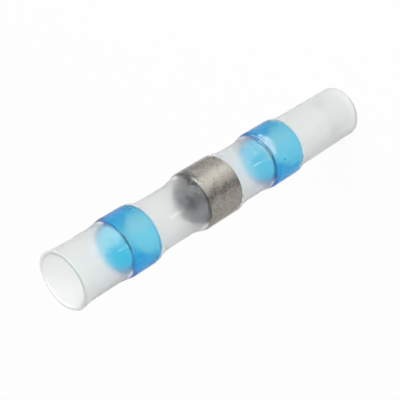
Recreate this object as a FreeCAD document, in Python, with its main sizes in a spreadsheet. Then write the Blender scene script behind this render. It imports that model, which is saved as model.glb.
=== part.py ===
"""Heat shrink solder connector: a clear sleeve drawn over two sealing rings and one solder ring.

The sleeve is a tube of even wall that has been part shrunk on to three loose rings, so it stands out over each ring
and is drawn in above and below it. Two rings of blue hot melt adhesive lie nearer its ends and a ring of solder lies
between them. A stripped wire goes in at each end, through a sealing ring, and the two meet inside the solder ring.

Frame: millimetres, +Z up along the sleeve. The connector stands on its plain cut end, with its flared mouth on top,
and the origin is at the middle of that end.
"""

import FreeCAD, Part
from collections import namedtuple
import os
import Sketcher
from FreeCAD import Vector

SIZES = {
    "sleeve_length": (40.0, "cut length of the sleeve"),
    "sleeve_wall": (0.4, "wall of the sleeve"),
    "ring_diameter": (5.4, "outside of all three rings, which go into one size of sleeve"),
    "ring_clearance": (0.02, "gap between a ring and the sleeve that is shrunk on to it"),
    "solder_length": (4.45, "solder ring"),
    "upper_tail_length": (6.35, "flared mouth to the upper sealing ring"),
    "lower_neck_length": (5.4, "solder ring to the lower sealing ring"),
    "upper_neck_length": (6.95, "solder ring to the upper sealing ring"),
    "lower_seal_length": (4.0, "lower sealing ring"),
    "upper_seal_length": (3.35, "upper sealing ring"),
    "seal_wall": (0.45, "wall of a sealing ring"),
    "seal_corner": (0.3, "round on the outer edges of a sealing ring"),
    "solder_wall": (0.45, "wall of the solder ring"),
    "solder_corner": (0.16, "round on the outer edges of the solder ring"),
    "bore_round": (0.1, "round on the inner edges of all three rings"),
    "lower_tail_draw": (0.32, "how far the sleeve is drawn in, from its radius on a ring, in its lower tail"),
    "lower_neck_draw": (0.295, "the same between the lower sealing ring and the solder ring"),
    "upper_neck_draw": (0.445, "the same between the solder ring and the upper sealing ring"),
    "upper_tail_draw": (0.245, "the same in its upper tail"),
    "mouth_flare": (0.175, "how far the mouth opens out from the upper tail"),
    "mouth_run": (1.5, "length of the mouth's flare"),
    "shoulder_run": (1.3, "length over which the sleeve is drawn in beside a ring"),
    "shoulder_blend": (5.0, "radius at which a shoulder or the flare runs out into its bore"),
    "cut_round": (0.07, "round on the edges of the sleeve's two cut ends"),
}

SEAT = "Sizes.ring_diameter / 2 + Sizes.ring_clearance"
UPPER_SEAL_BASE = "Sizes.sleeve_length - Sizes.upper_tail_length - Sizes.upper_seal_length"
SOLDER_BASE = UPPER_SEAL_BASE + " - Sizes.upper_neck_length - Sizes.solder_length"
LOWER_SEAL_BASE = SOLDER_BASE + " - Sizes.lower_neck_length - Sizes.lower_seal_length"

# A ring's height above the sleeve's plain end is an expression, and the rest are names of sizes.
Ring = namedtuple("Ring", "name base length wall corner draw_below draw_above")
RINGS = (
    Ring("lower_sealing_ring", LOWER_SEAL_BASE, "lower_seal_length", "seal_wall", "seal_corner",
         "lower_tail_draw", "lower_neck_draw"),
    Ring("solder_ring", SOLDER_BASE, "solder_length", "solder_wall", "solder_corner",
         "lower_neck_draw", "upper_neck_draw"),
    Ring("upper_sealing_ring", UPPER_SEAL_BASE, "upper_seal_length", "seal_wall", "seal_corner",
         "upper_neck_draw", "upper_tail_draw"),
)

START, END = 1, 2
SKETCH_ORIGIN = (-1, START)
TOUCHING = 1e-4


def cell(name):
    """The sheet's cell of that name, for an expression."""
    return "Sizes." + name


def make_sheet(doc):
    sheet = doc.addObject("Spreadsheet::Sheet", "Sizes")
    for row, (name, (value, meaning)) in enumerate(SIZES.items(), start=1):
        sheet.set("A%d" % row, name)
        sheet.set("B%d" % row, str(value))
        sheet.setAlias("B%d" % row, name)
        sheet.set("C%d" % row, meaning)
    doc.recompute()


def value_of(doc, expression):
    """What an expression of the sheet's cells comes to."""
    return float(doc.getObject("Sizes").evalExpression(expression))


def new_body(doc, name, base):
    """A body on the sleeve's axis, with its own origin at that height."""
    body = doc.addObject("PartDesign::Body", name)
    body.Label = name
    body.setExpression("Placement.Base.z", base)
    return body


def new_sketch(body, name):
    """A sketch in which x is the distance from the sleeve's axis and y is the height above the body's origin."""
    sketch = body.newObject("Sketcher::SketchObject", name)
    plane = next(feature for feature in body.Origin.OriginFeatures if feature.Role == "XZ_Plane")
    sketch.AttachmentSupport = [(plane, "")]
    sketch.MapMode = "FlatFace"
    return sketch


def draw_outline(sketch, corners):
    """Straight lines that join the corners and close, with each corner held where its expressions say.

    A corner is a pair of expressions: its distance from the axis, and its height.
    """
    doc = sketch.Document
    spots = [(value_of(doc, out), value_of(doc, height)) for out, height in corners]
    count = len(spots)
    for n, spot in enumerate(spots):
        sketch.addGeometry(Part.LineSegment(Vector(*spot), Vector(*spots[(n + 1) % count])))
    for n in range(count):
        sketch.addConstraint(Sketcher.Constraint("Coincident", n, END, (n + 1) % count, START))
    for n, expressions in enumerate(corners):
        for kind, value, expression in zip(("DistanceX", "DistanceY"), spots[n], expressions):
            index = sketch.addConstraint(Sketcher.Constraint(kind, *SKETCH_ORIGIN, n, START, value))
            sketch.setExpression("Constraints[%d]" % index, expression)


def turned(body, sketch, name):
    """The closed sketch turned a full circle about the sleeve's axis."""
    feature = body.newObject("PartDesign::Revolution", name)
    feature.Profile = sketch
    feature.ReferenceAxis = (sketch, ["V_Axis"])
    feature.Angle = 360
    body.Document.recompute()
    return feature


def rounded(body, base, name, edges, radius):
    """A round of that radius, an expression, on the base's edges of those names."""
    feature = body.newObject("PartDesign::Fillet", name)
    feature.Base = (base, edges)
    feature.setExpression("Radius", radius)
    body.Document.recompute()
    return feature


def circles(feature, wanted):
    """Names of the feature's full circles that pass a test of (radius, height above the body's origin)."""
    names = []
    for n, edge in enumerate(feature.Shape.Edges, start=1):
        if isinstance(edge.Curve, Part.Circle) and wanted(edge.Curve.Radius, edge.Curve.Center.z):
            names.append("Edge%d" % n)
    return names


def flat_faces(feature):
    faces = enumerate(feature.Shape.Faces, start=1)
    return ["Face%d" % n for n, face in faces if isinstance(face.Surface, Part.Plane)]


def make_ring(doc, ring):
    """A plain ring with its outer and inner edges rounded."""
    body = new_body(doc, ring.name, ring.base)
    sketch = new_sketch(body, ring.name + "_section")
    outside = "%s / 2" % cell("ring_diameter")
    inside = "%s - %s" % (outside, cell(ring.wall))
    length = cell(ring.length)
    draw_outline(sketch, [(inside, "0"), (outside, "0"), (outside, length), (inside, length)])
    blank = turned(body, sketch, ring.name + "_blank")
    middle = value_of(doc, "%s - %s / 2" % (outside, cell(ring.wall)))
    outer = circles(blank, lambda radius, height: radius > middle)
    cornered = rounded(body, blank, ring.name + "_corners", outer, cell(ring.corner))
    inner = circles(cornered, lambda radius, height: radius < middle)
    rounded(body, cornered, ring.name + "_bore_edges", inner, cell("bore_round"))


def bore(draw):
    """Expression for the radius of the sleeve's bore where it is drawn in by that much."""
    return "%s - %s" % (SEAT, cell(draw))


def bend_inset(corner, draw):
    """Expression for how far inside a ring's end the sleeve turns in to a shoulder.

    The sleeve bends round the ring's own rounded edge, about the same centre. The inset is to the point where the
    straight lines on either side of that bend would meet.
    """
    slope = "atan(%s / %s)" % (cell(draw), cell("shoulder_run"))
    return "%s - (%s + %s) * tan(%s / 2)" % (cell(corner), cell(corner), cell("ring_clearance"), slope)


def sleeve_corners():
    """Corners of the sleeve's bore from its plain end up, and those that bend over a ring, by the ring's corner."""
    run = cell("shoulder_run")
    corners = [(bore("lower_tail_draw"), "0")]
    bends = {"seal_corner": [], "solder_corner": []}
    for ring in RINGS:
        first = "%s + %s" % (ring.base, bend_inset(ring.corner, ring.draw_below))
        last = "%s + %s - (%s)" % (ring.base, cell(ring.length), bend_inset(ring.corner, ring.draw_above))
        corners.append((bore(ring.draw_below), "%s - %s" % (first, run)))
        corners.append((SEAT, first))
        corners.append((SEAT, last))
        corners.append((bore(ring.draw_above), "%s + %s" % (last, run)))
        bends[ring.corner] += [(SEAT, first), (SEAT, last)]
    top = cell("sleeve_length")
    corners.append((bore("upper_tail_draw"), "%s - %s" % (top, cell("mouth_run"))))
    corners.append(("%s + %s" % (bore("upper_tail_draw"), cell("mouth_flare")), top))
    return corners, bends


def make_sleeve(doc):
    """A core of the bore's form, its corners rounded, then a wall laid over it and the core taken away."""
    corners, bends = sleeve_corners()
    body = new_body(doc, "shrink_sleeve", "0")
    sketch = new_sketch(body, "sleeve_bore")
    draw_outline(sketch, corners + [("0", cell("sleeve_length")), ("0", "0")])
    core = turned(body, sketch, "sleeve_core")

    def at(spots):
        """Test for the circles that pass through those corners."""
        places = [(value_of(doc, out), value_of(doc, height)) for out, height in spots]
        return lambda radius, height: any(abs(radius - r) + abs(height - z) < TOUCHING for r, z in places)

    blends = [spot for spot in corners[1:-1] if spot[0] != SEAT]
    shape = rounded(body, core, "shoulder_blends", circles(core, at(blends)), cell("shoulder_blend"))
    for corner, spots in bends.items():
        radius = "%s + %s" % (cell(corner), cell("ring_clearance"))
        shape = rounded(body, shape, "bends_over_" + corner, circles(shape, at(spots)), radius)
    wall = body.newObject("PartDesign::Thickness", "sleeve_wall")
    wall.Base = (shape, flat_faces(shape))
    wall.setExpression("Value", cell("sleeve_wall"))
    wall.Reversed = False
    doc.recompute()
    top = value_of(doc, cell("sleeve_length"))
    cut_edges = circles(wall, lambda radius, height: min(abs(height), abs(height - top)) < TOUCHING)
    rounded(body, wall, "cut_ends", cut_edges, cell("cut_round"))


def check(doc):
    """Stops with a message if an object failed or a piece isn't one sound solid."""
    for thing in doc.Objects:
        if "Invalid" in thing.State or "Error" in thing.State:
            raise RuntimeError("%s failed: %s" % (thing.Name, thing.State))
    for body in doc.findObjects("PartDesign::Body"):
        shape = body.Shape
        if shape.isNull() or not shape.isValid() or len(shape.Solids) != 1:
            raise RuntimeError("%s is not one valid solid" % body.Label)


def main():
    doc = FreeCAD.newDocument("heat_shrink_connector")
    make_sheet(doc)
    make_sleeve(doc)
    for ring in RINGS:
        make_ring(doc, ring)
    doc.recompute()
    check(doc)
    os.makedirs("parts", exist_ok=True)
    for body in doc.findObjects("PartDesign::Body"):
        body.Shape.exportStep("parts/%s.step" % body.Label)
        print("%s: %.3f mm3 in %d faces" % (body.Label, body.Shape.Volume, len(body.Shape.Faces)))


main()
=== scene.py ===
"""Looks of a heat shrink solder connector: a film sleeve over two hot melt rings and a ring of solder.

The connector stands on its plain cut end. Each piece is a closed section carried round the sleeve's axis,
with the small faults of the real thing: an oval mouth cut by hand, film drawn down unevenly, and grainy
solder. Lengths are in millimetres, and become metres where a mesh, a bump, a lamp or the camera is made.
A direction is in degrees round the axis, from +X towards +Y, so the camera stands at -90.
"""

import bpy
import math
import numpy as np
from mathutils import Matrix, Vector


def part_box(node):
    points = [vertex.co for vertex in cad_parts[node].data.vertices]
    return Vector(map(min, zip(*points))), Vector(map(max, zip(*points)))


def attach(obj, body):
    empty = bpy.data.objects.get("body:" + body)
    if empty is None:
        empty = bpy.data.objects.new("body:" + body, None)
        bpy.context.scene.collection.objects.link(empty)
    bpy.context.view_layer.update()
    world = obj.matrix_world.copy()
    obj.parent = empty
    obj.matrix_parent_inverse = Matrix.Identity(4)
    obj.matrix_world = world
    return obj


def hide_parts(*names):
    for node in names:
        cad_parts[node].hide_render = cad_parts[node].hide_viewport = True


MM = 0.001

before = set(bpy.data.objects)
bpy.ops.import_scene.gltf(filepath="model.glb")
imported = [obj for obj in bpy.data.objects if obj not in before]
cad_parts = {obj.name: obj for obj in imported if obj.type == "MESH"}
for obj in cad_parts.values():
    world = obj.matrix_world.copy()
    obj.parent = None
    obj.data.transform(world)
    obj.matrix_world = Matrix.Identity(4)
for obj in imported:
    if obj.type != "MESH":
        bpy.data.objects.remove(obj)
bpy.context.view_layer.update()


def ends_of(node):
    """Heights of a CAD node's lowest and highest points."""
    low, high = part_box(node)
    return low.z / MM, high.z / MM


def radius_of(node):
    """Outer radius of a CAD node."""
    low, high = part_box(node)
    return (high.x - low.x) / 2 / MM


# The sleeve. A draw is how far the film is drawn in from where it lies on a ring.
SLEEVE_BASE, SLEEVE_TOP = ends_of("shrink_sleeve")
WALL = 0.4
SEAT = radius_of("shrink_sleeve") - WALL
SHOULDER_RUN, SHOULDER_BLEND = 1.3, 5.0
LOWER_TAIL_DRAW, LOWER_NECK_DRAW, UPPER_NECK_DRAW, UPPER_TAIL_DRAW = 0.32, 0.295, 0.445, 0.245
MOUTH_FLARE, MOUTH_RUN = 0.175, 1.5
CUT_ROUND = 0.07

# The sleeve's faults. An oval has its size, its direction, and the height from or up to which it is there.
# The mouth's oval is shifted inward. The mouth's cut wanders, and the film ripples between the rings.
MOUTH_OVAL, MOUTH_OVAL_DIRECTION, MOUTH_OVAL_FROM = 0.05, 38, 34.5
MOUTH_OVAL_SHIFT = 0.6
TAIL_OVAL, TAIL_OVAL_DIRECTION, TAIL_OVAL_UP_TO = 0.04, 110, 8.5
CUT_WANDER, CUT_WANDER_REACH = 0.045, 2
RIPPLE = 0.014

# The rings. A corner is the round of a ring's outer edge in the CAD, about which the film bends. Each ring
# has its corner, and the draw of the film below it and above it.
SEAL_CORNER, SOLDER_CORNER = 0.3, 0.16
RING_WALL = 0.45
BORE_ROUND = 0.1
RINGS = {
    "lower_sealing_ring": (SEAL_CORNER, LOWER_TAIL_DRAW, LOWER_NECK_DRAW),
    "solder_ring": (SOLDER_CORNER, LOWER_NECK_DRAW, UPPER_NECK_DRAW),
    "upper_sealing_ring": (SEAL_CORNER, UPPER_NECK_DRAW, UPPER_TAIL_DRAW),
}

# The film wets a ring, so the ring is swollen this far into the film, and melt fills its outer corners. A dip
# is the depth of a ring's small waves. The bore's finish starts and is full at these shares of the way in
# through the ring's wall.
RING_SWELL = 0.03
MELT_CORNER = 0.12
MELT_DIP, SOLDER_DIP = 0.006, 0.008
BORE_FINISH = (0.6, 0.8)

# Mesh steps: points round a piece, in an arc and along a flank, and how the rows of points up the sleeve lie
SLEEVE_TURNS, RING_TURNS = 168, 144
ARC_POINTS, FLANK_POINTS = 6, 24
EVEN_STEP, LEAST_STEP = 0.4, 0.045
BEND_REACH, BEND_POINTS = 0.36, 13
PAST_RING_POINTS = (0.25, 0.48)


def smooth_step(value, low, high):
    """0 up to low, 1 from high on, and a smooth S between."""
    share = np.clip((value - low) / (high - low), 0, 1)
    return share * share * (3 - 2 * share)


def smooth_fall(value, low, high):
    """1 up to low, 0 from high on, and a smooth S between."""
    return smooth_step(-value, -high, -low)


def rounded_ramp(distance, width):
    """Zero before the start, the distance after it, and a parabola of that width where the two meet."""
    inside = np.clip(distance / width + 0.5, 0, 1)
    return np.where(inside < 1, 0.5 * width * inside ** 2, distance)


def bend_inset(corner, draw):
    """How far inside a ring's end the film turns in: it bends about the centre of the ring's own round."""
    clearance = SEAT - radius_of("solder_ring")
    return corner - (corner + clearance) * math.tan(math.atan(draw / SHOULDER_RUN) / 2)


def bore_bends():
    """Height, change of slope and rounding radius of each bend in the bore, from the plain end up."""
    bends = []
    for node, (corner, draw_below, draw_above) in RINGS.items():
        base, top = ends_of(node)
        first = base + bend_inset(corner, draw_below)
        last = top - bend_inset(corner, draw_above)
        below, above = draw_below / SHOULDER_RUN, draw_above / SHOULDER_RUN
        bends.append((first - SHOULDER_RUN, below, SHOULDER_BLEND))
        bends.append((first, -below, corner))
        bends.append((last, -above, corner))
        bends.append((last + SHOULDER_RUN, above, SHOULDER_BLEND))
    bends.append((SLEEVE_TOP - MOUTH_RUN, MOUTH_FLARE / MOUTH_RUN, SHOULDER_BLEND))
    return bends


def bore_radius(height):
    """The plain end's radius plus a rounded ramp for each bend, times the change of slope there."""
    radius = np.full_like(height, SEAT - LOWER_TAIL_DRAW)
    for place, change, rounding in bore_bends():
        radius = radius + change * rounded_ramp(height - place, rounding * abs(change))
    return radius


def row_heights():
    """Heights up the sleeve: even steps, and closer ones at each bend and just past each ring."""
    bends = [bend[0] + np.linspace(-BEND_REACH, BEND_REACH, BEND_POINTS) for bend in bore_bends()]
    past_rings = [ends_of(node)[1] + np.array(PAST_RING_POINTS) for node in RINGS]
    even = np.arange(SLEEVE_BASE, SLEEVE_TOP, EVEN_STEP)
    heights = np.unique(np.round(np.concatenate([*bends, *past_rings, even]), 3))
    heights = heights[(heights > SLEEVE_BASE + CUT_ROUND) & (heights < SLEEVE_TOP - CUT_ROUND)]
    return heights[np.concatenate([[True], np.diff(heights) > LEAST_STEP])]


def quarter(centre_radius, centre_height, radius, start):
    """Points of a quarter circle from that angle, in degrees, anticlockwise in the (radius, height) plane."""
    turn = np.radians(start + np.linspace(0, 90, ARC_POINTS))
    return centre_radius + radius * np.cos(turn), centre_height + radius * np.sin(turn)


def joined(*stretches):
    """Radii and heights of a section, from those of its stretches in turn."""
    radii, heights = zip(*stretches)
    return np.concatenate(radii), np.concatenate(heights)


def sleeve_section():
    """Closed section of the wall: up the outside, over the mouth, down the bore and under the plain cut.

    The outside is the bore moved out by the wall along its own normal.
    """
    height = row_heights()
    bore = bore_radius(height)
    slope = np.gradient(bore, height)
    lean = np.sqrt(1 + slope ** 2)
    mouth, tail = bore_radius(np.array([SLEEVE_TOP, SLEEVE_BASE]))
    below_mouth, above_tail = SLEEVE_TOP - CUT_ROUND, SLEEVE_BASE + CUT_ROUND
    return joined(
        (bore + WALL / lean, height - WALL * slope / lean),
        quarter(mouth + WALL - CUT_ROUND, below_mouth, CUT_ROUND, 0),
        quarter(mouth + CUT_ROUND, below_mouth, CUT_ROUND, 90),
        (bore[::-1], height[::-1]),
        quarter(tail + CUT_ROUND, above_tail, CUT_ROUND, 180),
        quarter(tail + WALL - CUT_ROUND, above_tail, CUT_ROUND, 270),
    )


def ring_section(node, corner):
    """Closed section of a plain ring with rounded edges, anticlockwise from the foot of its outside."""
    base, top = ends_of(node)
    inner = radius_of(node) - RING_WALL
    base, top, outer = base - RING_SWELL, top + RING_SWELL, radius_of(node) + RING_SWELL
    flank = np.linspace(base + corner, top - corner, FLANK_POINTS)[1:-1]
    bore = np.linspace(top - BORE_ROUND, base + BORE_ROUND, FLANK_POINTS)[1:-1]
    return joined(
        (np.full_like(flank, outer), flank),
        quarter(outer - corner, top - corner, corner, 0),
        quarter(inner + BORE_ROUND, top - BORE_ROUND, BORE_ROUND, 90),
        (np.full_like(bore, inner), bore),
        quarter(inner + BORE_ROUND, base + BORE_ROUND, BORE_ROUND, 180),
        quarter(outer - corner, base + corner, corner, 270),
    )


def angles(count):
    """That many angles round the axis, in radians, as one row."""
    return np.linspace(0, 2 * np.pi, count, endpoint=False)[None, :]


def degrees_from(angle, direction):
    """Degrees from a direction to an angle given in radians, between -180 and 180."""
    return (np.degrees(angle) - direction + 180) % 360 - 180


def spread(section, count):
    """A value for each point of a section, repeated at that many angles."""
    return np.repeat(section[:, None], count, axis=1)


def carried_round(name, radius, height):
    """Surface P(a, s) = (r cos a, r sin a, h): a closed section with its r and h given at each angle a.

    radius and height have a row for each point s of the section and a column for each angle a.
    """
    rows, columns = radius.shape
    angle = angles(columns)
    points = np.stack([radius * np.cos(angle), radius * np.sin(angle), height], axis=-1) * MM
    row, column = np.meshgrid(np.arange(rows), np.arange(columns), indexing="ij")
    next_row, next_column = (row + 1) % rows, (column + 1) % columns
    corners = [(row, column), (row, next_column), (next_row, next_column), (next_row, column)]
    quads = np.stack([r * columns + c for r, c in corners], axis=-1).reshape(-1, 4)
    mesh = bpy.data.meshes.new(name)
    mesh.from_pydata(points.reshape(-1, 3), [], quads)
    mesh.shade_smooth()
    piece = bpy.data.objects.new(name, mesh)
    bpy.context.scene.collection.objects.link(piece)
    return piece


def face_means(values):
    """Mean over the four corners of each face that carried_round makes, from a value for each point."""
    across = np.roll(values, -1, axis=1)
    corners = (values, across, np.roll(across, -1, axis=0), np.roll(values, -1, axis=0))
    return np.stack(corners, axis=-1).reshape(-1, 4).mean(axis=1)


def write_mask(piece, name, values):
    """Keeps a number for each point of the mesh, which the piece's material reads by that name."""
    attribute = piece.data.attributes.new(name, "FLOAT", "POINT")
    attribute.data.foreach_set("value", np.ravel(values))


def waves(angle, height, seed, count, most_turns, shortest):
    """Sum of cosines of random phase, over the square root of their count, so mostly within -1.5 to 1.5.

    Each goes a whole number of times round the axis, and along it has a wavelength of at least the shortest.
    """
    rng = np.random.default_rng(seed)
    total = np.zeros(np.broadcast(angle, height).shape)
    for wave in range(count):
        around = rng.integers(1, most_turns + 1)
        along = rng.uniform(-1, 1) * 2 * np.pi / shortest
        total += np.cos(around * angle + along * height + rng.uniform(0, 2 * np.pi))
    return total / math.sqrt(count)


def off_rings(height):
    """1 where the film spans free, and 0 where a ring holds it, with a smooth S over 1 mm at each end."""
    free = np.ones_like(height)
    for node in RINGS:
        base, top = ends_of(node)
        free = free * (1 - smooth_step(height, base - 1, base) * smooth_fall(height, top, top + 1))
    return free


# The film's finishes, numbered as make_pieces gives them to the sleeve
FROSTED, WETTED, CUT, SHEER, STRETCHED_GLINT = range(5)

# The wetted finish starts this far above a ring's lower edge, and ends this far past its upper edge
WET_BELOW, WET_ABOVE = 0.12, 0.5

# The cut finish is full this near to an end, and is gone at the second distance
CUT_FULL, CUT_GONE = 0.06, 0.12

# The sheer finish past a ring's upper edge: it is full up to the first distance and gone at the second. Each
# ring has its least and most share of sheer faces, and the directions where the most starts and is reached.
# Round the back, the most falls away again between two directions that all rings share.
SHEER_FULL, SHEER_GONE = 2.2, 3.8
SHEER_SHARES = {
    "lower_sealing_ring": (0.3, 1.0, -66, -90),
    "solder_ring": (0.15, 0.42, -62, -86),
    "upper_sealing_ring": (0.1, 1.0, -74, -99),
}
SHEER_BACK = (-178, -150)

# Marks, each given as direction, height, reach round in degrees, reach along in millimetres, and strength.
# Stretch marks are scratches and one crease, and folds lie over the lower ring's upper edge. Their whiter
# film is partly the real mark and partly a painted glint. The flux smear lies over the solder's upper edge:
# the film there is sheer, which blurs the edge, and not wetted.
STRETCH_MARK_GLINTS = (
    (-52, 13.7, 22, 0.09, 1.0),
    (-97.5, 34.45, 1.2, 0.6, 0.72),
    (-95.4, 27.7, 1.2, 0.9, 1.0),
    (-97.5, 14.6, 1.2, 0.6, 0.68),
    (-95.4, 15.8, 1.2, 0.6, 0.64),
)
FOLD_GLINTS = ((-66, 13.25, 30, 0.6, 1.0), (-86, 13.5, 20, 0.25, 1.0))
FLUX_SMEARS = ((-38, 23.4, 36, 0.8, 1.0),)


def even_profile(distance):
    """1 up to a distance of 1, and 0 past it."""
    return np.where(distance < 1, 1.0, 0.0)


def soft_profile(distance):
    """1 up to a distance of 0.5, 0 from 1 on, and a smooth S between."""
    return smooth_fall(distance, 0.5, 1)


def peaked_profile(distance):
    """1 in the middle, falling straight to 0 at a distance of 1."""
    return np.clip(1 - distance, 0, 1)


def marked(angle, height, marks, profile):
    """The strongest of some marks at each point.

    A mark is its strength, times a profile of the distance round from its middle, times the same profile of
    the distance along. Both distances are shares of the mark's reach.
    """
    strongest = np.zeros_like(height)
    for direction, level, reach_round, reach_along, strength in marks:
        round_way = profile(np.abs(degrees_from(angle, direction)) / reach_round)
        along_way = profile(np.abs(height - level) / reach_along)
        strongest = np.maximum(strongest, strength * round_way * along_way)
    return strongest


def wetted(height):
    """1 where the film lies wet against a ring, and 0 elsewhere."""
    wet = np.zeros_like(height)
    for node in RINGS:
        base, top = ends_of(node)
        wet = np.where((height > base + WET_BELOW) & (height < top + WET_ABOVE), 1.0, wet)
    return wet


def sheer_past_rings(angle, height):
    """Share of the faces that are sheer, by how far past a ring they lie and in which direction."""
    turned = degrees_from(angle, 0)
    sheer = np.zeros_like(height)
    for node, (least, most, start, full) in SHEER_SHARES.items():
        past = height - ends_of(node)[1]
        zone = np.where(past > 0, smooth_fall(past, SHEER_FULL, SHEER_GONE), 0)
        side = smooth_fall(turned, full, start) * smooth_step(turned, *SHEER_BACK)
        sheer = np.maximum(sheer, zone * (least + (most - least) * side))
    return sheer


def near_cuts(section_height):
    """1 at both of the sleeve's cut ends, and 0 elsewhere."""
    at_mouth = smooth_step(section_height, SLEEVE_TOP - CUT_GONE, SLEEVE_TOP - CUT_FULL)
    return np.maximum(at_mouth, smooth_fall(section_height, CUT_FULL, CUT_GONE))


def mostly(values):
    """Faces with over half of their corners in a mask."""
    return face_means(values) > 0.5


def drawn_faces(share, seed, low, high):
    """Faces drawn at random: those whose share is over a number drawn evenly between low and high."""
    means = face_means(share)
    return means > np.random.default_rng(seed).uniform(low, high, len(means))


def film_finishes(angle, height, cut):
    """Number of each face's finish. A later line here lies over the earlier ones."""
    # Stretch marks and folds take the whiter stretched finish: real marks, with a painted glint
    stretches = marked(angle, height, STRETCH_MARK_GLINTS, even_profile)
    smears = marked(angle, height, FLUX_SMEARS, soft_profile)
    fold_glint_share = marked(angle, height, FOLD_GLINTS, peaked_profile)
    sheer = drawn_faces(sheer_past_rings(angle, height), seed=32, low=0.02, high=0.98)
    stretch_glint_faces = drawn_faces(stretches, seed=34, low=0.51, high=1.0)
    smeared = drawn_faces(smears, seed=35, low=0.02, high=0.98)
    fold_glint_faces = drawn_faces(fold_glint_share, seed=33, low=0.03, high=0.95)
    finish = np.full(height.size, FROSTED, dtype=np.int32)
    finish[sheer] = SHEER
    finish[mostly(wetted(height))] = WETTED
    finish[mostly(cut)] = CUT
    finish[stretch_glint_faces] = STRETCHED_GLINT
    finish[smeared] = SHEER
    finish[fold_glint_faces] = STRETCHED_GLINT
    return finish


def make_sleeve():
    """The film, as its piece and the finish of each face.

    Its radius is the section's, plus an oval cos 2a at each end, plus ripples where the film spans free. The
    mouth's cut is lowered by waves round the axis.
    """
    section_radius, section_height = sleeve_section()
    angle = angles(SLEEVE_TURNS)
    radius = spread(section_radius, SLEEVE_TURNS)
    height = spread(section_height, SLEEVE_TURNS)
    mouth_oval = np.cos(2 * (angle - math.radians(MOUTH_OVAL_DIRECTION))) - MOUTH_OVAL_SHIFT
    tail_oval = np.cos(2 * (angle - math.radians(TAIL_OVAL_DIRECTION)))
    ripples = waves(angle, height, seed=3, count=9, most_turns=5, shortest=6.0)
    radius += MOUTH_OVAL * smooth_step(height, MOUTH_OVAL_FROM, SLEEVE_TOP) * mouth_oval
    radius += TAIL_OVAL * smooth_fall(height, 0, TAIL_OVAL_UP_TO) * tail_oval
    radius += RIPPLE * off_rings(height) * ripples
    wander = waves(angle, 0 * height, seed=8, count=5, most_turns=4, shortest=1.0)
    lowered = np.clip(CUT_WANDER * (1 + wander / 2), 0, None)
    height -= lowered * smooth_step(height, SLEEVE_TOP - CUT_WANDER_REACH, SLEEVE_TOP)
    sleeve = carried_round("film_sleeve", radius, height)
    return sleeve, film_finishes(angle, height, spread(near_cuts(section_height), SLEEVE_TURNS))


def make_ring(name, node, corner, seed, dip):
    """A ring that sinks into its wall in small random waves, by up to the dip, with a mask for its bore."""
    section_radius, section_height = ring_section(node, corner)
    angle = angles(RING_TURNS)
    radius = spread(section_radius, RING_TURNS)
    height = spread(section_height, RING_TURNS)
    outer = radius_of(node)
    into_wall = np.where(radius > outer - RING_WALL / 2, -1, 1)
    sunk = waves(angle, height, seed, count=12, most_turns=16, shortest=1.6)
    radius += into_wall * dip * (0.5 + 0.5 * np.clip(sunk, -1, 1))
    ring = carried_round(name, radius, height)
    start, full = BORE_FINISH
    bore = smooth_fall(section_radius, outer - full * RING_WALL, outer - start * RING_WALL)
    write_mask(ring, "bore", spread(bore, RING_TURNS))
    return ring


# Tone of the solder where no band is, and bright and dark bands down it, which are painted reflections of the
# softbox
# and of darker surroundings: direction, width and strength
SOLDER_TONE = 0.45
REFLECTION_BANDS = (
    (-68, 16, 0.5), (-103, 11, -0.34), (-142, 24, 0.18), (175, 16, 0.34), (140, 14, -0.3), (100, 18, 0.42),
    (60, 12, -0.34), (20, 15, 0.4), (-22, 13, -0.22),
)
# Reach and strength of the painted shade at the solder's upper and lower edges
EDGE_SHADE_REACH, EDGE_SHADE_STRENGTH = 0.12, 0.8


def reflection_banded(angle):
    """The solder's tone plus a bell curve round each painted reflection band's direction, kept between 0 and
    1.
    """
    tone = np.full_like(angle, SOLDER_TONE)
    for direction, width, strength in REFLECTION_BANDS:
        tone = tone + strength * np.exp(-(degrees_from(angle, direction) / width) ** 2)
    return np.clip(tone, 0, 1)


def make_solder():
    """The solder ring, with masks for its painted reflection bands and for the painted shade at its edges."""
    ring = make_ring("grainy_solder_ring", "solder_ring", SOLDER_CORNER, seed=23, dip=SOLDER_DIP)
    section_height = ring_section("solder_ring", SOLDER_CORNER)[1]
    base, top = ends_of("solder_ring")
    at_top = smooth_step(section_height, top - EDGE_SHADE_REACH, top)
    edge_shade = np.maximum(at_top, smooth_fall(section_height, base, base + EDGE_SHADE_REACH))
    write_mask(ring, "reflection_band", np.repeat(reflection_banded(angles(RING_TURNS)), len(section_height), axis=0))
    write_mask(ring, "edge_shade", EDGE_SHADE_STRENGTH * spread(edge_shade, RING_TURNS))
    return ring


def add(tree, kind, inputs=(), **settings):
    """A new node, with its settings and inputs. An input is a value, or the socket that feeds it."""
    node = tree.nodes.new(kind)
    for name, value in settings.items():
        setattr(node, name, value)
    for name, value in dict(inputs).items():
        if isinstance(value, bpy.types.NodeSocket):
            tree.links.new(value, node.inputs[name])
        else:
            node.inputs[name].default_value = value
    return node


def worked(tree, operation, *values):
    """Result of a Math node on one or two numbers."""
    return add(tree, "ShaderNodeMath", dict(enumerate(values)), operation=operation).outputs[0]


def millimetres(tree):
    """Object coordinates in millimetres."""
    place = add(tree, "ShaderNodeTexCoord").outputs["Object"]
    return add(tree, "ShaderNodeVectorMath", {0: place, "Scale": 1 / MM}, operation="SCALE").outputs[0]


def new_group(name, inputs):
    """A node group that turns numbers into one Value: the group, its given inputs and its result."""
    group = bpy.data.node_groups.new(name, "ShaderNodeTree")
    for label, usual in inputs.items():
        socket = group.interface.new_socket(label, in_out="INPUT", socket_type="NodeSocketFloat")
        socket.default_value = usual
    group.interface.new_socket("Value", in_out="OUTPUT", socket_type="NodeSocketFloat")
    given = group.nodes.new("NodeGroupInput").outputs
    result = group.nodes.new("NodeGroupOutput").inputs["Value"]
    return group, given, result


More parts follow.
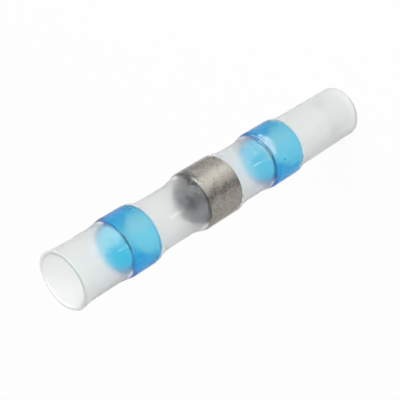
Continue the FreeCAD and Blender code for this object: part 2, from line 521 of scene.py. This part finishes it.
def pattern_group():
    """Cloud and grain of a drawn or cast surface.

    Size is the pattern's size in millimetres, and Length says how many times longer it is along the sleeve.
    """
    group, given, result = new_group("drawn_pattern", {"Size": 1.0, "Length": 1.0, "Detail": 2.0})
    shorter = worked(group, "DIVIDE", 1.0, given["Length"])
    stretch = add(group, "ShaderNodeCombineXYZ", {"X": 1.0, "Y": 1.0, "Z": shorter}).outputs[0]
    drawn = add(group, "ShaderNodeVectorMath", {0: millimetres(group), 1: stretch}, operation="MULTIPLY")
    noise = add(group, "ShaderNodeTexNoise", {
        "Vector": drawn.outputs[0],
        "Scale": worked(group, "DIVIDE", 1.0, given["Size"]),
        "Detail": given["Detail"],
    })
    group.links.new(noise.outputs["Fac"], result)
    return group


PATCH_INPUTS = {"Direction": 0.0, "Height": 0.0, "Round": 1.0, "Along": 1.0, "Soft": 0.5}


def patch_group():
    """1 inside a patch of the surface and 0 outside, with a soft border.

    Direction is the patch's middle in degrees round the sleeve, and Height its middle in millimetres. Round
    and Along are how far it reaches each way in millimetres, and Soft is the share of that reach over which
    it fades.
    """
    group, given, result = new_group("soft_patch", PATCH_INPUTS)
    point = add(group, "ShaderNodeSeparateXYZ", {0: millimetres(group)}).outputs
    turned = worked(group, "ARCTAN2", point["Y"], point["X"])
    turned = worked(group, "SUBTRACT", turned, worked(group, "RADIANS", given["Direction"]))
    turned = worked(group, "ABSOLUTE", worked(group, "WRAP", turned, math.pi, -math.pi))
    round_way = worked(group, "MULTIPLY", turned, SEAT)
    along_way = worked(group, "ABSOLUTE", worked(group, "SUBTRACT", point["Z"], given["Height"]))
    solid = worked(group, "SUBTRACT", 1.0, given["Soft"])
    shares = []
    for distance, reach in ((round_way, given["Round"]), (along_way, given["Along"])):
        fade = add(group, "ShaderNodeMapRange", {
            "Value": distance,
            "From Min": worked(group, "MULTIPLY", reach, solid),
            "From Max": reach,
            "To Min": 1.0,
            "To Max": 0.0,
        }, interpolation_type="SMOOTHSTEP")
        shares.append(fade.outputs["Result"])
    group.links.new(worked(group, "MULTIPLY", *shares), result)
    return group


PATTERN = pattern_group()
PATCH = patch_group()

# The span in which most of a pattern's values lie
PATTERN_LOW, PATTERN_HIGH = 0.3, 0.7


def pattern(tree, size, length, detail=2.0):
    inputs = {"Size": size, "Length": length, "Detail": detail}
    return add(tree, "ShaderNodeGroup", inputs, node_tree=PATTERN).outputs["Value"]


def ranged(tree, value, low, high):
    """A pattern's usual span laid over another."""
    node = add(tree, "ShaderNodeMapRange", {
        "Value": value, "From Min": PATTERN_LOW, "From Max": PATTERN_HIGH, "To Min": low, "To Max": high,
    })
    return node.outputs["Result"]


def patches(tree, places):
    """The strongest of some patches, each given as the inputs of a soft patch, in their order."""
    strongest = None
    for place in places:
        inputs = dict(zip(PATCH_INPUTS, place))
        value = add(tree, "ShaderNodeGroup", inputs, node_tree=PATCH).outputs["Value"]
        strongest = worked(tree, "MAXIMUM", strongest, value) if strongest else value
    return strongest


def mask(tree, name):
    """A number that the piece's mesh keeps for each of its points."""
    return add(tree, "ShaderNodeAttribute", attribute_name=name).outputs["Fac"]


def mixed(tree, share, first, second, **settings):
    """A colour between two, by a share. Each is a fixed (red, green, blue), or the socket that gives it."""
    first, second = (
        colour if isinstance(colour, bpy.types.NodeSocket) else (*colour, 1) for colour in (first, second)
    )
    inputs = {"Factor": share, "A": first, "B": second}
    return add(tree, "ShaderNodeMix", inputs, data_type="RGBA", **settings).outputs["Result"]


def bumped(tree, value, depth, normal=None):
    """A bump of that depth in millimetres, over another bump if one is given."""
    node = add(tree, "ShaderNodeBump", {"Height": value, "Distance": depth * MM, "Strength": 1.0})
    if normal:
        tree.links.new(normal, node.inputs["Normal"])
    return node.outputs["Normal"]


def new_material(name):
    material = bpy.data.materials.new(name)
    material.use_nodes = True
    tree = material.node_tree
    return material, tree, tree.nodes["Principled BSDF"]


WHITE = (1, 1, 1)
FILM_IOR, MELT_IOR = 1.2, 1.25

# Depth of the film's fine grain, and how many times deeper its lines are
FILM_BUMP, LINES_DEEPER = 0.001, 1.5

# Fine scratches that run along the film, and creases where it bends over a ring's edge, both painted white as
# highlights
SCRATCH_HIGHLIGHTS = ((-98, 34.35, 0.06, 0.8, 0.4), (-98, 27.4, 0.07, 1.1, 0.6), (-97, 14.95, 0.07, 1.8, 0.6))
CREASE_HIGHLIGHTS = ((-112, 33.78, 2.4, 0.06, 0.4), (-60, 13.62, 2.2, 0.07, 0.5))

# Frosted film, and the patch of painted shade that makes it greyer near the plain end
FROSTED_TINTS = ((0.865, 0.885, 0.88), (0.90, 0.91, 0.905))
FROSTED_ROUGHNESS = (0.33, 0.44)
TAIL_SHADES = ((-90, 2.6, 3.2, 2.7, 0.6),)
TAIL_SHADE_COLOUR = (0.76, 0.775, 0.77)

# The shaded near side of the mouth's cut
RIM_SHADES = ((-90, SLEEVE_TOP, 6, 1, 0.7),)
RIM_SHADE_COLOUR = (0.64, 0.70, 0.69)


def film(name, transmission, tints, roughness, bump=FILM_BUMP, places=(), shade=WHITE):
    """Polyolefin film with fine lines along its length. A cloud mixes its two tints and two roughnesses."""
    material, tree, skin = new_material(name)
    cloud = pattern(tree, size=2.6, length=1.6)
    lines = pattern(tree, size=0.16, length=30)
    grain = pattern(tree, size=0.07, length=1.5)
    tint = mixed(tree, ranged(tree, cloud, 0, 1), *tints)
    if places:
        tint = mixed(tree, patches(tree, places), tint, shade)
    # Painted highlights along the scratches and creases
    tint = mixed(tree, patches(tree, SCRATCH_HIGHLIGHTS + CREASE_HIGHLIGHTS), tint, WHITE)
    tree.links.new(tint, skin.inputs["Base Color"])
    tree.links.new(ranged(tree, cloud, *roughness), skin.inputs["Roughness"])
    tree.links.new(bumped(tree, grain, bump, bumped(tree, lines, LINES_DEEPER * bump)), skin.inputs["Normal"])
    skin.inputs["Transmission Weight"].default_value = transmission
    skin.inputs["IOR"].default_value = FILM_IOR
    return material


def frosted_film():
    return film(
        "frosted_film", transmission=0.92, tints=FROSTED_TINTS, roughness=FROSTED_ROUGHNESS,
        places=TAIL_SHADES, shade=TAIL_SHADE_COLOUR,
    )


def wetted_film():
    tints = ((0.98, 0.985, 0.985), (0.99, 0.99, 0.99))
    return film("wetted_film", transmission=1.0, tints=tints, roughness=(0.05, 0.1), bump=0.0005)


def cut_film():
    tints = ((0.86, 0.88, 0.87), (0.92, 0.93, 0.925))
    return film(
        "cut_film", transmission=0.3, tints=tints, roughness=(0.5, 0.6), bump=0.002,
        places=RIM_SHADES, shade=RIM_SHADE_COLOUR,
    )


def sheer_film():
    return film("sheer_film", transmission=1.0, tints=FROSTED_TINTS, roughness=FROSTED_ROUGHNESS)


# Whiter, less clear film: stretched film, and a painted glint on stretch marks and folds
def stretched_glint_film():
    tints = ((0.93, 0.95, 0.95), (0.97, 0.98, 0.98))
    return film("stretched_glint_film", transmission=0.7, tints=tints, roughness=(0.3, 0.4))


# The blue melt: its two tints, and the patches painted over them in this order, each kind with its colour.
# Painted light lies on the near side, deeper painted shade on the far side, and painted dark lines of shade
# at the upper edges.
MELT_TINTS = ((0.68, 0.92, 0.99), (0.76, 0.94, 1.0))
LIT_MELT_PATCHES = ((-66, 31.9, 1.6, 2.6, 0.8), (-66, 11.5, 1.6, 2.6, 0.8))
DEEP_SHADE_PATCHES = ((122, 31.7, 2.8, 2.4, 0.5), (125, 11.6, 2.8, 2.6, 0.5))
HALF_SHADE_PATCHES = ((92, 11.5, 4.4, 2.5, 0.4),)
SHADED_MELT_RIMS = ((-94, 33.68, 1.6, 0.05, 0.6), (-104, 13.53, 1.6, 0.05, 0.6))
MELT_LIGHT_AND_SHADE = (
    (LIT_MELT_PATCHES, (1.0, 0.97, 1.0)),
    (DEEP_SHADE_PATCHES, (0.22, 0.82, 0.975)),
    (HALF_SHADE_PATCHES, (0.45, 0.86, 0.98)),
    (SHADED_MELT_RIMS, (0.12, 0.28, 0.4)),
)

# A dark speck in the lower ring's outside
SPECKS = ((-118.6, 12.23, 0.16, 0.12, 0.6),)
SPECK_COLOUR = (0.02, 0.2, 0.4)

# The colour of light that the melt lets through, how dense it is per millimetre, and how rough it is
MELT_DEPTH_COLOUR = (0.0, 0.8125, 0.967, 1)
MELT_DENSITY = 2.4
MELT_ROUGHNESS = (0.16, 0.22)
MELT_BORE_ROUGHNESS = 0.4


def blue_hot_melt():
    """Blue adhesive, tinted through its depth: pale face on, and deep where it is seen along its wall, with
    painted light and shade over it.
    """
    material, tree, skin = new_material("blue_hot_melt")
    bore = mask(tree, "bore")
    swirl = pattern(tree, size=1.4, length=2.0)
    colour = mixed(tree, ranged(tree, swirl, 0, 1), *MELT_TINTS)
    # Painted light, painted shade and painted dark lines over the melt's tints
    for places, shade in MELT_LIGHT_AND_SHADE:
        colour = mixed(tree, patches(tree, places), colour, shade)
    speck = worked(tree, "MULTIPLY", patches(tree, SPECKS), worked(tree, "SUBTRACT", 1.0, bore))
    tree.links.new(mixed(tree, speck, colour, SPECK_COLOUR), skin.inputs["Base Color"])
    smooth = ranged(tree, pattern(tree, size=0.5, length=3.0), *MELT_ROUGHNESS)
    roughness = add(tree, "ShaderNodeMix", {"Factor": bore, "A": smooth, "B": MELT_BORE_ROUGHNESS})
    tree.links.new(roughness.outputs["Result"], skin.inputs["Roughness"])
    skin.inputs["Transmission Weight"].default_value = 1.0
    skin.inputs["IOR"].default_value = MELT_IOR
    depth = add(tree, "ShaderNodeVolumeAbsorption")
    depth.inputs["Color"].default_value = MELT_DEPTH_COLOUR
    depth.inputs["Density"].default_value = MELT_DENSITY / MM
    tree.links.new(depth.outputs[0], tree.nodes["Material Output"].inputs["Volume"])
    return material


# The solder's dull and bright tones, between which painted reflection bands, stains and flecks move it, the
# warm tint of its flux, and the painted shade at its edges. A strength is how far stains and flecks take its
# tone either way, and a bump is in millimetres.
DULL_TONE, BRIGHT_TONE = (0.15, 0.135, 0.122), (0.53, 0.512, 0.462)
FLUX_TINT = (1.0, 0.94, 0.90)
EDGE_SHADE_COLOUR = (0.06, 0.055, 0.05)
STAIN_STRENGTH, FLECK_STRENGTH = 0.14, 0.19
GRAIN_BUMP, FLECK_BUMP = 0.012, 0.03
SOLDER_ROUGHNESS = (0.45, 0.65)
SOLDER_METALLIC = 0.85

# A dark patch and a painted highlight at the upper edge of the solder's outside
UPPER_DARK_PATCHES, UPPER_DARK_COLOUR = ((-34, 23.35, 1.8, 0.9, 0.8),), (0.11, 0.115, 0.12)
PAINTED_GLEAMS, PAINTED_GLEAM_COLOUR = ((-60, 23.3, 0.9, 0.5, 0.9),), (0.5, 0.49, 0.47)

# The solder's bore, with a painted pool of light and patches of painted shade, which show through the film
BORE_COLOUR = (0.36, 0.375, 0.39)
LIT_PATCHES, LIT_COLOUR = ((140, 21.0, 2.0, 2.4, 0.7),), (0.65, 0.67, 0.70)
BORE_SHADES, BORE_SHADE_COLOUR = ((38, 21.8, 1.5, 1.7, 0.8), (94, 21.3, 1.7, 2.0, 0.8)), (0.05, 0.055, 0.065)


def dull_solder():
    """Grainy grey-brown solder under a thin coat of flux, with painted reflection bands and painted shade at
    its edges.
    """
    material, tree, skin = new_material("dull_solder")
    stain = pattern(tree, size=0.9, length=1.0, detail=4.0)
    flecks = pattern(tree, size=0.19, length=1.3)
    grain = pattern(tree, size=0.1, length=1.0, detail=3.0)
    # The painted reflection bands set the tone, and stains and flecks move it
    tone = worked(tree, "ADD", mask(tree, "reflection_band"), ranged(tree, stain, -STAIN_STRENGTH, STAIN_STRENGTH))
    tone = worked(tree, "ADD", tone, ranged(tree, flecks, -FLECK_STRENGTH, FLECK_STRENGTH))
    tone = add(tree, "ShaderNodeClamp", {"Value": tone}).outputs[0]
    outside = mixed(tree, tone, DULL_TONE, BRIGHT_TONE)
    outside = mixed(tree, ranged(tree, stain, 0.0, 0.5), outside, FLUX_TINT, blend_type="MULTIPLY")
    # A dark patch and a painted highlight at the solder's upper edge
    outside = mixed(tree, patches(tree, UPPER_DARK_PATCHES), outside, UPPER_DARK_COLOUR)
    outside = mixed(tree, patches(tree, PAINTED_GLEAMS), outside, PAINTED_GLEAM_COLOUR)
    # Painted light and painted shade in the solder's bore
    bore = mixed(tree, patches(tree, LIT_PATCHES), BORE_COLOUR, LIT_COLOUR)
    bore = mixed(tree, patches(tree, BORE_SHADES), bore, BORE_SHADE_COLOUR)
    colour = mixed(tree, mask(tree, "bore"), outside, bore)
    # Painted shade at the solder's edges
    colour = mixed(tree, mask(tree, "edge_shade"), colour, EDGE_SHADE_COLOUR)
    tree.links.new(colour, skin.inputs["Base Color"])
    tree.links.new(ranged(tree, grain, *SOLDER_ROUGHNESS), skin.inputs["Roughness"])
    bump = bumped(tree, grain, GRAIN_BUMP, bumped(tree, flecks, FLECK_BUMP))
    tree.links.new(bump, skin.inputs["Normal"])
    skin.inputs["Metallic"].default_value = SOLDER_METALLIC
    return material


def dress(piece, node, slot, *materials):
    """Gives a piece its materials, and puts it in the place of a CAD node."""
    for material in materials:
        piece.data.materials.append(material)
    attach(piece, "root")
    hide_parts(node)


def make_pieces():
    sleeve, finishes = make_sleeve()
    films = (frosted_film(), wetted_film(), cut_film(), sheer_film(), stretched_glint_film())
    dress(sleeve, "shrink_sleeve", "frosted_film", *films)
    sleeve.data.polygons.foreach_set("material_index", finishes)
    hot_melt = blue_hot_melt()
    upper = make_ring("upper_melt_ring", "upper_sealing_ring", MELT_CORNER, seed=21, dip=MELT_DIP)
    dress(upper, "upper_sealing_ring", "blue_hot_melt", hot_melt)
    lower = make_ring("lower_melt_ring", "lower_sealing_ring", MELT_CORNER, seed=22, dip=MELT_DIP)
    dress(lower, "lower_sealing_ring", "blue_hot_melt", hot_melt)
    dress(make_solder(), "solder_ring", "solder", dull_solder())


# The photograph's camera looks down on the mouth, and is rolled so that the sleeve runs up to the right
CAMERA_AIM = Vector((-0.31, 0.0, 22.22)) * MM
CAMERA_DISTANCE = 117.05 * MM
CAMERA_ELEVATION = math.radians(37.2)
CAMERA_ROLL = math.radians(-121.8)
CAMERA_LENS = 108
CAMERA_NEAREST, CAMERA_FURTHEST = 1 * MM, 10000 * MM


def make_camera():
    back = Vector((0, -math.cos(CAMERA_ELEVATION), math.sin(CAMERA_ELEVATION)))
    data = bpy.data.cameras.new("camera")
    data.lens = CAMERA_LENS
    data.clip_start, data.clip_end = CAMERA_NEAREST, CAMERA_FURTHEST
    camera = bpy.data.objects.new("camera", data)
    bpy.context.scene.collection.objects.link(camera)
    level = back.to_track_quat("Z", "Y").to_matrix()
    rolled = level @ Matrix.Rotation(CAMERA_ROLL, 3, "Z")
    camera.matrix_world = Matrix.Translation(CAMERA_AIM + back * CAMERA_DISTANCE) @ rolled.to_4x4()
    bpy.context.scene.camera = camera


# The side of the standing sleeve that is uppermost in the photograph, where the softbox hangs
PHOTO_UP = Vector((0.698, -0.716, 0.0))

# Studio light by how far its direction turns to that side: 0 is straight away from it and 1 is straight to it
STUDIO_LIGHT = ((0.0, 0.7), (0.4, 0.4), (0.55, 0.45), (0.8, 0.8), (1.0, 0.9))

# The softbox: its direction from the sleeve, its distance and width, and its power in watts
SOFTBOX_DIRECTION = PHOTO_UP + Vector((0, 0, 0.35))
SOFTBOX_DISTANCE, SOFTBOX_WIDTH = 260, 300
SOFTBOX_POWER = 1.1


def straight_view(tree):
    """1 where the camera looks, also through clear pieces, and 0 for light on its way to a surface."""
    path = add(tree, "ShaderNodeLightPath").outputs
    either = worked(tree, "MAXIMUM", path["Is Camera Ray"], path["Is Transmission Ray"])
    return worked(tree, "MULTIPLY", either, worked(tree, "LESS_THAN", path["Diffuse Depth"], 0.5))


def make_world():
    """Soft studio light, brightest from the photograph's top, and plain white in a straight view."""
    world = bpy.data.worlds.new("studio")
    bpy.context.scene.world = world
    world.use_nodes = True
    tree = world.node_tree
    direction = add(tree, "ShaderNodeTexCoord").outputs["Generated"]
    lean = add(tree, "ShaderNodeVectorMath", {0: direction, 1: PHOTO_UP}, operation="DOT_PRODUCT")
    share = add(tree, "ShaderNodeMapRange", {"Value": lean.outputs["Value"], "From Min": -1.0})
    ramp = add(tree, "ShaderNodeValToRGB", {0: share.outputs[0]})
    stops = ramp.color_ramp.elements
    while len(stops) < len(STUDIO_LIGHT):
        stops.new(0.5)
    for stop, (position, grey) in zip(stops, STUDIO_LIGHT):
        stop.position = position
        stop.color = (grey, grey, grey, 1)
    seen = mixed(tree, straight_view(tree), ramp.outputs["Color"], WHITE)
    tree.links.new(seen, tree.nodes["Background"].inputs["Color"])


def make_softbox():
    data = bpy.data.lights.new("softbox", "AREA")
    data.shape = "SQUARE"
    data.size = SOFTBOX_WIDTH * MM
    data.energy = SOFTBOX_POWER
    lamp = bpy.data.objects.new("softbox", data)
    bpy.context.scene.collection.objects.link(lamp)
    away = SOFTBOX_DIRECTION.normalized()
    place = Vector((0, 0, SLEEVE_TOP / 2 * MM)) + away * SOFTBOX_DISTANCE * MM
    lamp.matrix_world = Matrix.Translation(place) @ away.to_track_quat("Z", "Y").to_matrix().to_4x4()


# The floor: half its width, its level, its finish, and the least share of glow over it in a straight view.
# That share grows to 1 between two distances from the sleeve.
FLOOR_REACH, FLOOR_LEVEL = 600 * MM, -0.01 * MM
FLOOR_GLOW = 0.94
FLOOR_GLOW_FROM, FLOOR_GLOW_FULL = 50 * MM, 300 * MM
FLOOR_COLOUR, FLOOR_ROUGHNESS = (0.85, 0.85, 0.85, 1), 0.9


def make_floor():
    """A white floor that keeps a faint shadow: a white surface under a glow that shows in a straight view."""
    mesh = bpy.data.meshes.new("floor")
    x, y, z = FLOOR_REACH, FLOOR_REACH, FLOOR_LEVEL
    mesh.from_pydata([(-x, -y, z), (x, -y, z), (x, y, z), (-x, y, z)], [], [(0, 1, 2, 3)])
    floor = bpy.data.objects.new("floor", mesh)
    bpy.context.scene.collection.objects.link(floor)
    material, tree, skin = new_material("white_floor")
    skin.inputs["Base Color"].default_value = FLOOR_COLOUR
    skin.inputs["Roughness"].default_value = FLOOR_ROUGHNESS
    glow = add(tree, "ShaderNodeEmission", {"Strength": 1.0})
    place = add(tree, "ShaderNodeTexCoord").outputs["Object"]
    distance = add(tree, "ShaderNodeVectorMath", {0: place}, operation="LENGTH").outputs["Value"]
    most = add(tree, "ShaderNodeMapRange", {
        "Value": distance,
        "From Min": FLOOR_GLOW_FROM,
        "From Max": FLOOR_GLOW_FULL,
        "To Min": FLOOR_GLOW,
        "To Max": 1.0,
    })
    share = worked(tree, "MULTIPLY", straight_view(tree), most.outputs["Result"])
    both = add(tree, "ShaderNodeMixShader", {"Fac": share, 1: skin.outputs[0], 2: glow.outputs[0]})
    tree.links.new(both.outputs[0], tree.nodes["Material Output"].inputs["Surface"])
    mesh.materials.append(material)


make_pieces()
make_floor()
make_world()
make_softbox()
make_camera()
bpy.context.scene.view_settings.view_transform = "Standard"
